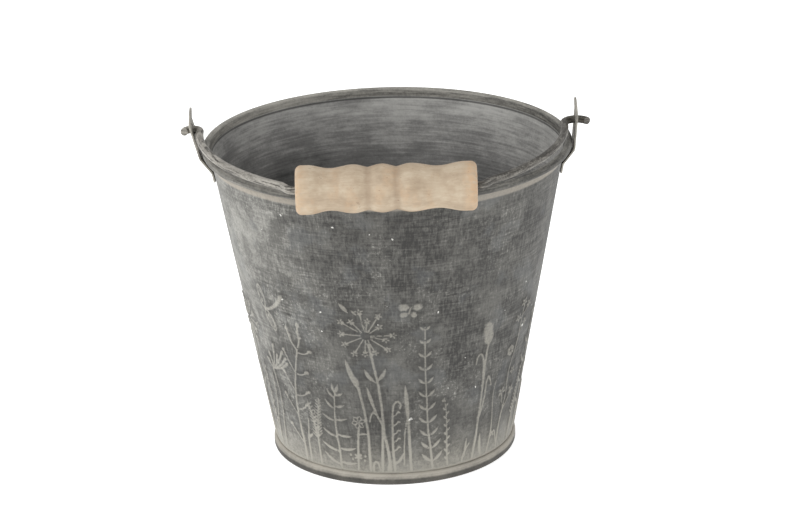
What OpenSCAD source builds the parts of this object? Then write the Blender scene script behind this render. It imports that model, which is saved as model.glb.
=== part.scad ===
// Galvanised sheet-metal flower bucket with a folding wire bail and a turned wooden grip.
// Origin at the centre of the foot, +Z up, ears on the X axis, bail folded down towards -Y.

/* [Bucket] */
// Outer diameter of the rolled rim
rim_d = 200; // [150:1:260]
// Height from the foot to the top of the rim
bucket_h = 174.5; // [120:0.5:240]
// Outer diameter of the wall just above the foot seam
foot_wall_d = 131.4; // [90:0.2:150]
// Thickness of the sheet metal
sheet_t = 0.5; // [0.4:0.05:0.8]
// Height of the folded foot seam
seam_h = 5.6; // [4.5:0.1:8]
// Height of the bottom's upper face above the ground
floor_z = 6.4; // [5.8:0.1:20]
// Gap between neighbouring layers of a folded seam
fold_gap = 0.05; // [0.03:0.01:0.1]
// Inner bend radius of the wall's hook in the foot seam
hook_bend_r = 0.35; // [0.2:0.05:0.6]

/* [Rim] */
// Diameter of the rolled bead at the rim
bead_d = 4.3; // [3.6:0.1:6]
// How far the sheet turns round the rim wire, in degrees
curl_turn = 294; // [270:1:300]

/* [Ears] */
// Thickness of the ear plates
ear_t = 1; // [0.8:0.1:1.4]
// Width of an ear
ear_w = 18; // [14:0.5:26]
// Height of the ear above the centre of its hole
ear_top = 12; // [9:0.5:18]
// Outward lean of the left ear below its hole, in degrees
ear_lean_left = 15; // [3:1:18]
// Outward lean of the right ear below its hole, in degrees
ear_lean_right = 5; // [3:1:18]
// Inward lean of both ear tips, in degrees
ear_tip_lean = 2; // [0:0.5:4]
// Height of the ear's plain blade above its hole before the tip bends in
ear_tip_start = 4; // [3:0.5:6]
// Gap between an ear and the rim bead
ear_gap = 0.3; // [0.2:0.05:0.6]
// Drop from the bead's centre to the corner where the ear turns in to the wall
ear_corner_drop = 3.9; // [3.6:0.1:6]
// Height over which the ear slants in from that corner to the wall
ear_slant_h = 8; // [7:0.5:12]
// Height of the tab that lies on the wall
ear_tab_h = 5.5; // [4:0.5:12]

/* [Bail] */
// Diameter of the bail wire
wire_d = 4.2; // [3:0.1:5]
// Radial play of the bail wire in the ear holes
ear_play = 0.35; // [0.25:0.05:0.6]
// Distance from the rim's outer edge out to the axis of the folded grip
grip_overhang = 8.2; // [6:0.1:9.5]
// Bend radius of the left hook, at the wire's centre
hook_r_left = 4.2; // [4:0.1:8]
// Bend radius of the right hook, at the wire's centre
hook_r_right = 6.6; // [4:0.1:8]
// How far the left hook turns past the ear, in degrees
hook_wrap_left = 92; // [60:1:110]
// How far the right hook turns past the ear, in degrees
hook_wrap_right = 62; // [60:1:110]
// Sideways shift of the bail's grip run, the bail being loose in its ears
bail_shift = -1; // [-2:0.1:2]
// Step of the crank on each side of the grip, measured towards the bucket
crank_step = 7.4; // [5:0.1:10]
// Slope of the crank, in degrees
crank_angle = 60; // [45:1:75]
// Bend radius between crank and grip run, at the wire's centre
crank_bend_r = 4; // [3:0.5:6]

/* [Grip] */
// Length of the wooden grip
grip_l = 92; // [70:1:110]
// Diameter of the crest near each end
crest_d = 25.2; // [20:0.2:30]
// Diameter of the finger ridges
ridge_d = 24.8; // [20:0.2:30]
// Diameter at the bottom of the wide hollows
hollow_d = 21.5; // [16:0.2:26]
// Diameter at the bottom of the notches between ridges
notch_d = 21.8; // [16:0.2:26]
// Distance between neighbouring ridges
ridge_pitch = 14.6; // [10:0.2:16]
// Shift of the ridge group from the middle of the grip
ridge_shift = -2; // [-3:0.1:3]
// Distance of each end crest from the grip's end
crest_inset = 6; // [4:0.5:8]
// Rounding radius of the grip's ends
grip_round = 3; // [1:0.5:4]
// Radial play of the wire in the grip's bore
grip_play = 0.3; // [0.2:0.05:0.6]
// End play of the grip between the cranks, on each side
grip_slack = 0.7; // [0.3:0.1:2]
// Clearance between the folded grip and the rim bead
rest_gap = 0.3; // [0.2:0.05:0.5]

/* [Hidden] */
$fn = 96;
zinc = "#7a7a78";
pale_zinc = "#96948e";
beech = "#cdb494";
cut = 1;                       // overshoot of cutting shapes
tuck = 0.1;                    // gap bridged inside each knuckle of the bail wire
knuckle_swell = 0.04;
steps = 8;                     // profile steps between two stations of the grip
notch_sharpness = 0.6;         // 0 is a soft wave, 1 is a sharp notch

rim_r = rim_d / 2;
bead_r = bead_d / 2;
wire_r = wire_d / 2;
bead_ring_r = rim_r - bead_r;
bead_z = bucket_h - bead_r;
foot_wall_r = foot_wall_d / 2;
neck_z = seam_h + fold_gap;
rim_wire_r = bead_r - sheet_t - fold_gap;

// The wall's inner face runs as a tangent into the bead, so its slope follows from both ends.
neck_in_r = foot_wall_r - sheet_t;
to_bead = [bead_ring_r - neck_in_r, bead_z - neck_z];
slope = atan2(to_bead[0], to_bead[1]) - asin(bead_r / norm(to_bead));
tangent_r = bead_ring_r - bead_r * cos(slope);
tangent_z = bead_z + bead_r * sin(slope);
function wall_out_r(z) = neck_in_r + sheet_t / cos(slope) + (z - neck_z) * tan(slope);

// Layers of the foot seam, counted outwards from the upright flange of the bottom
layer = sheet_t + fold_gap;
function layer_r(i) = neck_in_r - layer + i * layer;
seam_r = layer_r(4) + sheet_t;
seam_corner_r = hook_bend_r + layer + sheet_t;

// The hinge stands at the height where the folded grip lies level on the rim bead.
grip_rest = ridge_d / 2 + bead_r + rest_gap;
hinge_z = bead_z + sqrt(pow(grip_rest, 2) - pow(grip_overhang + bead_r, 2));
reach = rim_r + grip_overhang;

// Centre line of an ear in the XZ plane, from the tab up to the tip
corner_x = rim_r + ear_gap + ear_t / 2;
corner_z = bead_z - ear_corner_drop;
slant_z = corner_z - ear_slant_h;
tab_off = fold_gap + ear_t / 2;
tip_z = hinge_z + ear_tip_start;
function on_wall(z) = [wall_out_r(z) + tab_off / cos(slope), z];
function blade_x(lean, z) = corner_x + (z - corner_z) * tan(lean);
function ear_line(lean) = [
    on_wall(slant_z - ear_tab_h),
    on_wall(slant_z),
    [corner_x, corner_z],
    [blade_x(lean, tip_z), tip_z],
    [blade_x(lean, tip_z) - ear_top * tan(ear_tip_lean), tip_z + ear_top]
];

// Bail in its own plane: side is -1 on the left and 1 on the right, x is measured outwards.
crank_tangent = crank_bend_r * tan(crank_angle / 2);
run_half = grip_l / 2 + grip_slack + crank_tangent;
crank_l = crank_step / sin(crank_angle);
function hook_r(side) = side < 0 ? hook_r_left : hook_r_right;
function hook_wrap(side) = side < 0 ? hook_wrap_left : hook_wrap_right;
function ear_lean(side) = side < 0 ? ear_lean_left : ear_lean_right;
function hole_x(side) = blade_x(ear_lean(side), hinge_z);
function arm_x(side) = hole_x(side) - hook_r(side);
function run_end(side) = run_half + side * bail_shift - crank_tangent;
function shoulder(side) = [run_end(side) + crank_tangent + crank_l * cos(crank_angle),
    -reach + crank_step];
// Radius of the arc that leaves the hook straight forward and passes through the shoulder
function arm_r(side) = let (a = arm_x(side) - shoulder(side)[0], b = -shoulder(side)[1] - hook_r(side))
    (a * a + b * b) / (2 * a);
function arm_sweep(side) = atan2(-shoulder(side)[1] - hook_r(side),
    shoulder(side)[0] - arm_x(side) + arm_r(side));

// Radius profile of the grip: soft waves to the ends, sharper notches between the ridges
function wave(t) = (1 - cos(180 * t)) / 2;
function dip(t) = notch_sharpness * (1 - cos(90 * t)) + (1 - notch_sharpness) * wave(t);
function soft(a, b) = [for (i = [0 : steps - 1]) let (t = i / steps)
    [a[0] + (b[0] - a[0]) * wave(t), a[1] + (b[1] - a[1]) * t]];
function down(a, b) = [for (i = [0 : steps - 1]) let (t = i / steps)
    [a[0] + (b[0] - a[0]) * dip(t), a[1] + (b[1] - a[1]) * t]];
function up(a, b) = [for (i = [0 : steps - 1]) let (t = i / steps)
    [b[0] + (a[0] - b[0]) * dip(1 - t), a[1] + (b[1] - a[1]) * t]];
function ridge(i) = [ridge_d / 2, ridge_shift + i * ridge_pitch];
function notch(i) = [notch_d / 2, ridge_shift + (i + 0.5) * ridge_pitch];
crest_x = grip_l / 2 - crest_inset;
low_crest = [crest_d / 2, -crest_x];
high_crest = [crest_d / 2, crest_x];
low_hollow = [hollow_d / 2, (ridge(-1)[1] - crest_x) / 2];
high_hollow = [hollow_d / 2, (ridge(1)[1] + crest_x) / 2];
round_x = grip_l / 2 - grip_round;
function end_arc(side) = [for (i = [0 : steps]) let (a = 90 * (side < 0 ? i : steps - i) / steps)
    [crest_d / 2 - grip_round + grip_round * sin(a), side * (round_x + grip_round * cos(a))]];

// Flat ring section from radius a to b and from height c to d
module ring(a, b, c, d) {
    translate([a, c]) square([b - a, d - c]);
}

// Strip of plate from p to q with round ends
module strip(p, q) {
    translate(p) circle(d = ear_t);
    translate(q) circle(d = ear_t);
    translate(p) rotate(atan2(q[1] - p[1], q[0] - p[0]))
        translate([0, -ear_t / 2]) square([norm(q - p), ear_t]);
}

// Stretch of wire from p to q in the bail's plane, a little short at both ends
module wire_line(p, q) {
    translate([p[0], p[1], 0]) rotate([0, 0, atan2(q[1] - p[1], q[0] - p[0])])
        translate([tuck, 0, 0]) rotate([0, 90, 0])
            cylinder(r = wire_r, h = norm(q - p) - 2 * tuck);
}

// Bend of wire about c with centre-line radius r, from angle a to angle b, a little short too
module wire_bend(c, r, a, b) {
    trim = tuck / r * 180 / PI;
    translate([c[0], c[1], 0]) rotate([0, 0, a + trim])
        rotate_extrude(angle = b - a - 2 * trim) translate([r, 0]) circle(r = wire_r);
}

// Knuckle at p that joins two stretches of wire with mean direction a, a hair fatter than the wire
module knuckle(p, a) {
    translate([p[0], p[1], 0]) rotate([0, 0, a]) rotate([0, 90, 0])
        sphere(r = wire_r + knuckle_swell);
}

// Tapered wall: one rolled sheet with a hook at the foot and a curl at the rim
module wall() {
    color(zinc) rotate_extrude() {
        polygon([
            [neck_in_r, neck_z],
            [wall_out_r(neck_z), neck_z],
            [tangent_r + sheet_t * cos(slope), tangent_z - sheet_t * sin(slope)],
            [tangent_r, tangent_z]
        ]);
        ring(layer_r(1), layer_r(1) + sheet_t, layer, neck_z);
        difference() {
            band(layer_r(1), layer_r(3) + sheet_t, layer, seam_h, hook_bend_r + sheet_t);
            band(layer_r(1) + sheet_t, layer_r(3), layer + sheet_t, seam_h, hook_bend_r);
            ring(layer_r(1) + sheet_t, seam_r, seam_h - seam_corner_r, seam_h + cut);
        }
        curl();
    }
}

// Section of the curl round the rim wire, open where the sheet's edge nears the wall
module curl() {
    far = 2 * bead_d;
    end = 180 - curl_turn;
    difference() {
        translate([bead_ring_r, bead_z]) circle(r = bead_r);
        translate([bead_ring_r, bead_z]) circle(r = bead_r - sheet_t);
        translate([bead_ring_r, bead_z]) rotate(-slope)
            polygon([[0, 0], [-far, 0], [-far, -far], [far * cos(end), far * sin(end)]]);
    }
}

// Steel wire that stiffens the rim inside its curl
module rim_wire() {
    color(zinc) translate([0, 0, bead_z]) rotate_extrude() translate([bead_ring_r, 0])
        circle(r = rim_wire_r);
}

// Pressed bottom: a flat disc whose edge turns down, under and up round the wall's hook
module base() {
    color(zinc) rotate_extrude() {
        ring(0, layer_r(0) + sheet_t, floor_z - sheet_t, floor_z);
        ring(layer_r(0), layer_r(0) + sheet_t, 0, floor_z);
        ring(layer_r(2), layer_r(2) + sheet_t, 2 * layer + hook_bend_r, seam_h);
        difference() {
            band(layer_r(0), seam_r, 0, seam_h, seam_corner_r);
            band(layer_r(0) + sheet_t, seam_r - sheet_t, sheet_t, seam_h - sheet_t,
                hook_bend_r + layer);
            ring(layer_r(0) + sheet_t, layer_r(2), sheet_t, seam_h + cut);
        }
    }
}

// Ring section like ring(), with its two outer corners rounded
module band(a, b, c, d, r) {
    intersection() {
        ring(a, b, c, d);
        union() {
            ring(a, b - r, c, d);
            ring(a, b, c + r, d - r);
            for (z = [c + r, d - r]) translate([b - r, z]) circle(r = r);
        }
    }
}

module ear(side) {
    line = ear_line(ear_lean(side));
    top_z = hinge_z + ear_top;
    color(pale_zinc) scale([side, 1, 1]) difference() {
        intersection() {
            translate([0, ear_w / 2, 0]) rotate([90, 0, 0]) linear_extrude(ear_w)
                for (i = [0 : len(line) - 2]) strip(line[i], line[i + 1]);
            rotate([90, 0, 90]) linear_extrude(2 * rim_r) {
                translate([0, top_z - ear_w / 2]) circle(d = ear_w);
                translate([-ear_w / 2, 0]) square([ear_w, top_z - ear_w / 2]);
            }
        }
        translate([hole_x(side), 0, hinge_z]) rotate([0, 90, 0])
            cylinder(r = wire_r + ear_play, h = ear_w, center = true);
    }
}

module ear_left() {
    ear(-1);
}

module ear_right() {
    ear(1);
}

// Bail: one bent wire with a hook at each ear and a crank at each end of the grip
module bail() {
    color(pale_zinc) translate([0, 0, hinge_z]) {
        wire_line([-run_end(-1), -reach], [run_end(1), -reach]);
        bail_arm(1);
        mirror([1, 0, 0]) bail_arm(-1);
    }
}

// One arm, from the end of the grip run through crank, arc and hook to the free end
module bail_arm(side) {
    run = [run_end(side), -reach];
    knee = shoulder(side);
    uphill = [cos(crank_angle), sin(crank_angle)];
    foot = knee - (crank_l - crank_tangent) * uphill;
    elbow = [arm_x(side), -hook_r(side)];
    wire_bend(run + [0, crank_bend_r], crank_bend_r, -90, crank_angle - 90);
    wire_line(foot, knee);
    wire_bend(elbow - [arm_r(side), 0], arm_r(side), -arm_sweep(side), 0);
    wire_bend(elbow + [hook_r(side), 0], hook_r(side), 90 - hook_wrap(side), 180);
    knuckle(run, 0);
    knuckle(foot, crank_angle);
    knuckle(knee, (crank_angle + 90 - arm_sweep(side)) / 2);
    knuckle(elbow, 90);
}

// Grip: turned wood, drilled through for the wire
module grip() {
    bore_r = wire_r + grip_play;
    profile = concat(
        [[bore_r, -grip_l / 2]],
        end_arc(-1),
        soft(low_crest, low_hollow),
        soft(low_hollow, ridge(-1)),
        down(ridge(-1), notch(-1)),
        up(notch(-1), ridge(0)),
        down(ridge(0), notch(0)),
        up(notch(0), ridge(1)),
        soft(ridge(1), high_hollow),
        soft(high_hollow, high_crest),
        [high_crest],
        end_arc(1),
        [[bore_r, grip_l / 2]]
    );
    color(beech) translate([bail_shift, -reach, hinge_z]) rotate([0, 90, 0])
        rotate_extrude() polygon(profile);
}

wall();
rim_wire();
base();
ear_left();
ear_right();
bail();
grip();
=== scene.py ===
"""Zinc flower bucket: an embossed, whitewashed wall with a rolled rim, two ears and a folding bail with a
grip.

Sizes are in millimetres and angles in degrees, and add_mesh turns them into the frame's metres. Angles round
the bucket start at the front, over which the grip hangs, and grow towards +X.
"""

import bmesh
import bpy
import numpy as np
from mathutils import Matrix, Vector
from mathutils.geometry import delaunay_2d_cdt


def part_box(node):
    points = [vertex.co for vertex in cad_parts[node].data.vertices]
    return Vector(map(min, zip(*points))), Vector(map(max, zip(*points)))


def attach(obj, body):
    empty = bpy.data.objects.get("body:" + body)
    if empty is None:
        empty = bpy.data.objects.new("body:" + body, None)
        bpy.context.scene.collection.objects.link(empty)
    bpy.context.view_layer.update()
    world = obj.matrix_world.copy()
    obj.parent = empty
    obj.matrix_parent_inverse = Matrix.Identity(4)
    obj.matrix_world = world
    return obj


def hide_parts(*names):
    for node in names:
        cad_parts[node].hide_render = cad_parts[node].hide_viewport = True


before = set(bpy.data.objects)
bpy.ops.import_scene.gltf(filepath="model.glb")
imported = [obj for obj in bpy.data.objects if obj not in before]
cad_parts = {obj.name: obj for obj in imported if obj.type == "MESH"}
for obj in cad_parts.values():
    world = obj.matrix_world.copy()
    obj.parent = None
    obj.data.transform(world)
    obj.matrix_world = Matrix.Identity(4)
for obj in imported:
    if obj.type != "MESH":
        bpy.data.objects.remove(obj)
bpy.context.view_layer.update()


# ------------------------------------------------------------
# Wall: one galvanised sheet, rolled to a cone. Its foot hooks into the bottom's edge, its rim is curled
# outwards round a steel wire, and its two edges meet in a flat folded seam just behind the left ear.

MM = 0.001
WELD = 2e-6         # metres within which two points are welded to one
SHEET = 0.5
LAYER = 0.55        # one layer of the folded foot seam with its gap
SEAM_H = 5.6        # height of the folded foot seam
HOOK_LOW = 0.8      # lower edge of the wall's hidden hook
BEAD_R = 2.15
CURL_END = -114     # where the curl stops, as an angle on the bead's section


def box_of(node):
    """Lower and upper corner of a CAD node's box, in millimetres."""
    return [np.array(corner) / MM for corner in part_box(node)]


base_high = box_of("base")[1]
wall_high = box_of("wall")[1]
bead_ring = wall_high[0] - BEAD_R
bead_z = wall_high[2] - BEAD_R
neck_z = SEAM_H + LAYER - SHEET
neck_r = base_high[0] - 3 * LAYER
slope = (np.arctan2(bead_ring - neck_r + SHEET, bead_z - neck_z)
         - np.arcsin(BEAD_R / np.hypot(bead_ring - neck_r + SHEET, bead_z - neck_z)))


def cone_r(z):
    """Radius of the wall's outer face: a straight line that leaves the foot and runs into the rim bead."""
    return neck_r - SHEET + SHEET / np.cos(slope) + (z - neck_z) * np.tan(slope)


def arc(centre, radius, start, end, count):
    """Points on a circle's arc from one angle to another, in the plane of the section."""
    turn = np.radians(np.linspace(start, end, count))
    return np.column_stack([centre[0] + radius * np.cos(turn), centre[1] + radius * np.sin(turn)])


# The meadow is drawn on the unrolled sheet: u is the way round in millimetres at PATTERN_R, z is the height.
# A stroke is a row of points (u, z, half width).
PATTERN_R = 75
GIRTH = 2 * np.pi * PATTERN_R
REPEATS = 2
REPEAT = GIRTH / REPEATS
STATION = 1.5       # distance between stations along a stroke
SOFT_EDGE = 0.4     # width of a stroke's sloping edge
FINEST = 0.25       # least half width of a leaf's point
RAISED = 0.55       # height of the embossing
HALO = 1.8          # width of the painted shade round each stroke
PATTERN_FADE = (5.5, 9)
HALO_FADE = (9, 18)
RELIEF_LOW = 7
RELIEF_HIGH = 114
SEAM_U = -130       # place of the folded side seam on the unrolled sheet
SEAM_HALF = 3
SEAM_PROUD = 0.5


def smooth(low, high, value):
    """Soft step from 0 at low to 1 at high, level at both ends."""
    t = np.clip((value - low) / (high - low), 0, 1)
    return t * t * (3 - 2 * t)


def through(points, step=STATION):
    """Smooth curve through given points: on each span the cubic whose end slopes are half the chord
    between the neighbouring points."""
    p = np.array(points, float)
    p = np.vstack([2 * p[0] - p[1], p, 2 * p[-1] - p[-2]])
    spans = []
    for a, b, c, d in zip(p[:-3], p[1:-2], p[2:-1], p[3:]):
        count = max(2, int(np.ceil(np.hypot(*(c - b)[:2]) / step)))
        t = np.linspace(0, 1, count, endpoint=False)[:, None]
        spans.append(0.5 * (2 * b + (c - a) * t + (2 * a - 5 * b + 4 * c - d) * t ** 2
                            + (3 * b - a - 3 * c + d) * t ** 3))
    return np.vstack([*spans, p[-2]])


def across_at(points, z):
    """Where the smooth curve through the points stands across at height z."""
    line = through(points)
    order = np.argsort(line[:, 1])
    return np.interp(z, line[order, 1], line[order, 0])


def towards(angle):
    """Step of length 1 on the sheet, to the right at 0 and upwards at 90."""
    return np.array([np.cos(np.radians(angle)), np.sin(np.radians(angle))])


def stem(points, root=0.8, tip=0.5):
    """Stalk along a smooth curve, its half width changing evenly from root to tip."""
    line = through(points)
    return [np.column_stack([line, np.linspace(root, tip, len(line))])]


def leaf(root, tip, width, bow=0.0):
    """Leaf from root to tip: its half width follows a half sine to the power 0.8, and its midrib bows
    sideways in a half sine by a share of its length."""
    root, tip = np.array(root, float), np.array(tip, float)
    count = max(6, int(np.hypot(*(tip - root)) / STATION) + 2)
    t = np.linspace(0, 1, count)[:, None]
    sideways = np.array([root[1] - tip[1], tip[0] - root[0]])
    line = root + (tip - root) * t + sideways * bow * np.sin(np.pi * t)
    return [np.column_stack([line, FINEST + (width / 2 - FINEST) * np.sin(np.pi * t[:, 0]) ** 0.8])]


def blob(u, z, along, across, tilt=90):
    """Filled ellipse: the circles inside it that touch it on both sides, centred along its long axis."""
    along = max(along, 1.05 * across)
    focus = np.sqrt(along ** 2 - across ** 2)
    t = np.linspace(-1, 1, max(5, int(2 * along / 0.8))) * focus ** 2 / along
    turn = np.radians(tilt)
    half = across * np.sqrt(1 - (t / focus) ** 2)
    return [np.column_stack([u + t * np.cos(turn), z + t * np.sin(turn), half])]


def ring(u, z, along, across, tilt=90, half=0.6):
    """Ellipse drawn as a closed line."""
    t = np.linspace(0, 2 * np.pi, max(9, int(4 * (along + across) / STATION)))
    turn = np.radians(tilt)
    a, b = along * np.cos(t), across * np.sin(t)
    return [np.column_stack([u + a * np.cos(turn) - b * np.sin(turn), z + a * np.sin(turn) + b * np.cos(turn),
                             np.full(len(t), half)])]


def floret(u, z, size, petals=5, turn=90):
    """Small flower: oval petals set about its middle."""
    made = []
    for angle in turn + 360 * np.arange(petals) / petals:
        made += blob(*([u, z] + 0.58 * size * towards(angle)), 0.44 * size, 0.27 * size, angle)
    return made


def umbel(u, z, rays, hub=2.6, size=2.1):
    """Flower head of rays (angle, length) round a flat hub, with a floret on the end of each."""
    made = []
    for angle, length in rays:
        line = [u, z] + towards(angle) * np.linspace(hub, length - size / 3, 7)[:, None]
        made.append(np.column_stack([line, np.linspace(0.4, 0.55, 7)]))
        made += floret(*([u, z] + towards(angle) * length), size, turn=angle)
    return made


def twig(root, tip, sag=0.0):
    """Side twig with a knob of three berries on its end."""
    root, tip = np.array(root, float), np.array(tip, float)
    middle = (root + tip) / 2 + [0, -sag]
    made = stem([root, middle, tip], 0.55, 0.6)
    made += blob(*tip, 1.3, 1.1, 30)
    made += blob(*(tip * 0.7 + middle * 0.3 + [0, 0.4]), 1.0, 0.8, 120)
    return made


def spike(points, low, high, barb, pitch, lean=50):
    """Flower spike: a stalk with pairs of short barbs between two heights."""
    made = stem(points)
    for z in np.arange(low, high, pitch):
        length = barb * (1 - 0.5 * (z - low) / (high - low))
        for side in (-1, 1):
            root = np.array([across_at(points, z), z + 0.5 * pitch * (side > 0)])
            made += leaf(root, root + length * towards(90 - side * lean), 1.1)
    return made


def sprig(points, leaves, width):
    """Stalk with single leaves, each given by its root's height and its tip."""
    made = stem(points)
    for root_z, *tip in leaves:
        root = [across_at(points, root_z), root_z]
        made += leaf(root, tip, width, 0.08 if tip[0] < root[0] else -0.08)
    return made


def pairs(points, low, high, pitch, grow):
    """Tall stalk with leaf pairs in a V, which grow longer towards the ground."""
    made = stem(points)
    for k, z in enumerate(np.arange(high, low, -pitch)):
        u, size = across_at(points, z), 2.4 + grow * k
        made += leaf([u + 0.5, z], [u + size, z + 0.9 * size], 1.6 + 0.08 * size, -0.06)
        made += leaf([u - 0.5, z], [u - size, z + 0.8 * size], 1.6 + 0.08 * size, 0.06)
    return made


def wheat(points, low, high, pitch=2.6):
    """Ear of small grains set alternately left and right of a thin stalk."""
    made = stem(points, 0.6, 0.4)
    for k, z in enumerate(np.arange(low, high, pitch)):
        side = 1 if k % 2 else -1
        made += blob(across_at(points, z) + 1.1 * side, z, 1.2, 0.75, 90 - 35 * side)
    return made


ALLIUM = [(99, 14.5), (61, 13.7), (147, 14.1), (129, 10.6), (82, 9.1), (39, 8.8), (178, 12.1), (2, 13.4),
          (208, 12.3), (-13, 10), (-38, 13.5), (241, 12.7), (266, 11.1), (-67, 11.1)]
FAN = [(130, 6), (95, 9), (73, 16), (55, 12), (48, 18), (35, 17), (25, 16)]


def meadow():
    """All strokes of one repeat of the pattern, from left to right."""
    made = []
    # tall umbel, reed and wheat at the side
    made += umbel(-98, 82, [(30 * k, 12.5 - 3 * (k % 2)) for k in range(12)])
    made += stem([(-98, 79), (-99, 60), (-101, 40), (-101, 20), (-99, 6)])
    made += leaf((-101, 42), (-107, 54), 2.6) + leaf((-101, 38), (-94, 49), 2.4)
    made += wheat([(-88, 6), (-89, 30), (-90, 58)], 22, 58)
    made += leaf((-112, 40), (-114, 66), 3) + stem([(-112, 42), (-111, 20), (-112, 6)])
    made += leaf((-106, 6), (-108, 24), 2, 0.1)
    # dragonfly
    made += ring(-73, 104, 6.6, 2.1, 99) + ring(-73.1, 104.5, 4.2, 0.8, 99, 0.3)
    made += ring(-68.6, 90.8, 6.1, 2.1, -64) + ring(-68.3, 90.2, 3.8, 0.8, -64, 0.3)
    made += stem([(-71.6, 97), (-67.5, 98), (-64, 100.2), (-60.5, 103.5), (-57.4, 107.8)], 0.9, 1.5)
    # fan flower
    for angle, length in FAN:
        ray = length * towards(angle)
        made += stem([(-77, 59), [-76, 58] + 0.5 * ray, [-77, 59] + ray], 0.6, 0.9)
        made += blob(*([-77, 59] + ray), 1.5, 1.1, angle)
    made += stem([(-77, 59), (-75.5, 46), (-76.5, 35), (-80, 19), (-82, 6)])
    made += stem([(-80, 55), (-81, 40), (-86, 24), (-88, 14)], 0.6, 0.5)
    # berry branch
    made += stem([(-60.4, 6), (-60.2, 18), (-60.8, 29), (-60.7, 39), (-59.1, 52), (-56.3, 64), (-52.6, 77)],
                 1, 0.7)
    made += stem([(-52.6, 77), (-55.7, 82), (-57.3, 89)], 0.7, 0.8) + blob(-57.4, 89.5, 1.6, 1.2)
    made += stem([(-52.6, 77), (-50.2, 83), (-50.2, 88), (-49.7, 93)], 0.7, 0.8) + blob(-49.6, 93, 1.7, 1.4)
    made += blob(-50.4, 88.5, 1.4, 1.1) + blob(-49.2, 85.3, 1.2, 0.9, 40) + blob(-56.4, 85.5, 1.3, 1)
    for root, tip in [((-52.8, 75.8), (-44, 78)), ((-57, 62), (-48.2, 64.3)), ((-59.2, 48), (-49.4, 52)),
                      ((-60.3, 39), (-52, 43.8)), ((-57.4, 63), (-63, 75)), ((-60, 51), (-66.4, 61)),
                      ((-61, 35), (-69.2, 46.5)), ((-61, 18.5), (-69.2, 27.7))]:
        made += twig(root, tip, 1.2 if tip[0] > root[0] else 0.2)
    # heather and a bare stalk
    made += spike([(-48.4, 6), (-47.9, 24), (-45.6, 38), (-43.4, 49.5)], 24, 48, 4.6, 1.9)
    made += spike([(-48.4, 26), (-49.4, 37), (-51.4, 46)], 33, 45, 3.4, 2.1)
    made += stem([(-56.4, 6), (-55.8, 20), (-54.4, 28), (-53.2, 35)], 0.9, 0.5)
    made += leaf((-56, 22), (-51.5, 26), 1.8)
    # leafy sprig
    made += sprig([(-33.9, 6), (-33.9, 21), (-34.5, 29), (-34.3, 40), (-33.2, 51), (-31.9, 58)],
                  [(52, -37, 57), (45, -39, 50.3), (37.5, -42, 40.8), (27.5, -43, 31.6), (18.5, -45, 23),
                   (10, -44.5, 16.5), (55, -33.6, 60.8), (53.5, -28.2, 55.4), (46.6, -28, 48),
                   (38.5, -27.2, 39.6), (29.5, -25.6, 28.7), (20.6, -23.6, 21.4), (12, -24, 12),
                   (55, -30.4, 60.6)], 1.9)
    # clover and a small bloom
    for tilt in (20, 75, 130, 190, 250, 310):
        made += ring(*([-20.4, 38.2] + 2.2 * towards(tilt)), 1.7, 1.0, tilt, 0.35)
    made += stem([(-20.6, 34.5), (-21.9, 22.6), (-23, 6)], 0.8, 0.7)
    made += leaf((-21.3, 30), (-15.8, 31), 1.5, 0.1)
    made += floret(-22.4, 16.5, 2.6, 6) + blob(-27, 17.2, 0.9, 0.7) + blob(-18, 17, 0.9, 0.7)
    made += blob(-26, 14.6, 0.8, 0.6) + blob(-18.6, 14.2, 0.8, 0.6)
    # allium
    made += umbel(-13, 92, ALLIUM)
    made += stem([(-2.7, 6), (-4, 20), (-6, 32), (-6.5, 43), (-7.1, 52), (-8.2, 63), (-9.1, 69), (-10.5, 78),
                  (-12, 87)], 1, 0.8)
    made += stem([(-8.1, 6), (-6.9, 31), (-6.5, 43)], 1, 0.8)
    made += leaf((-9.3, 63.5), (-14.8, 71.6), 2.7, 0.08) + leaf((-8.6, 64.5), (-4, 72), 2.5, -0.08)
    # reeds and a drooping blade
    made += leaf((-18.6, 58.5), (-24.4, 76.8), 3.4, 0.03) + leaf((-18.8, 61), (-20.9, 67), 3.6)
    made += stem([(-15.1, 6), (-15.3, 19), (-15.2, 30.5), (-15.9, 41), (-17.2, 50.4), (-18.8, 60)], 0.9, 0.9)
    made += leaf((-11, 47), (-14.1, 60.4), 2.4)
    made += stem([(-6.8, 37), (-9, 42), (-10.4, 46), (-12, 52)], 0.8, 0.8)
    made += stem([(-9.4, 43), (-11.4, 45.2), (-13, 42.6), (-13.8, 39)], 0.8, 0.5)
    made += leaf((7.7, 38), (6, 61.5), 3) + stem([(9.6, 6), (8.5, 23), (7.7, 40)], 0.9, 1)
    made += stem([(5.2, 12), (5.4, 28), (6.6, 40)], 0.4, 0.4)
    # curl of grass and foxglove crook
    made += stem([(-13.3, 6), (-13.2, 11.5), (-11.8, 14), (-10.2, 12.4), (-9.4, 8.5)], 0.8, 0.6)
    made += stem([(-0.2, 6), (-1.2, 21), (-1.2, 34.5), (-0.9, 45.5), (0.1, 50.6), (2.1, 51.8), (3.7, 49.6),
                  (3.1, 47.4)], 0.9, 0.7)
    for z in (44, 38, 32.5, 27.5, 22):
        made += stem([(-1, z - 1), (0.8, z - 0.4), (1.9, z + 1.4), (2.9, z + 1)], 0.5, 0.6)
    made += leaf((-0.6, 12), (4.6, 19), 1.8, -0.1) + leaf((-5, 6), (-3.5, 14), 1.6)
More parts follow.
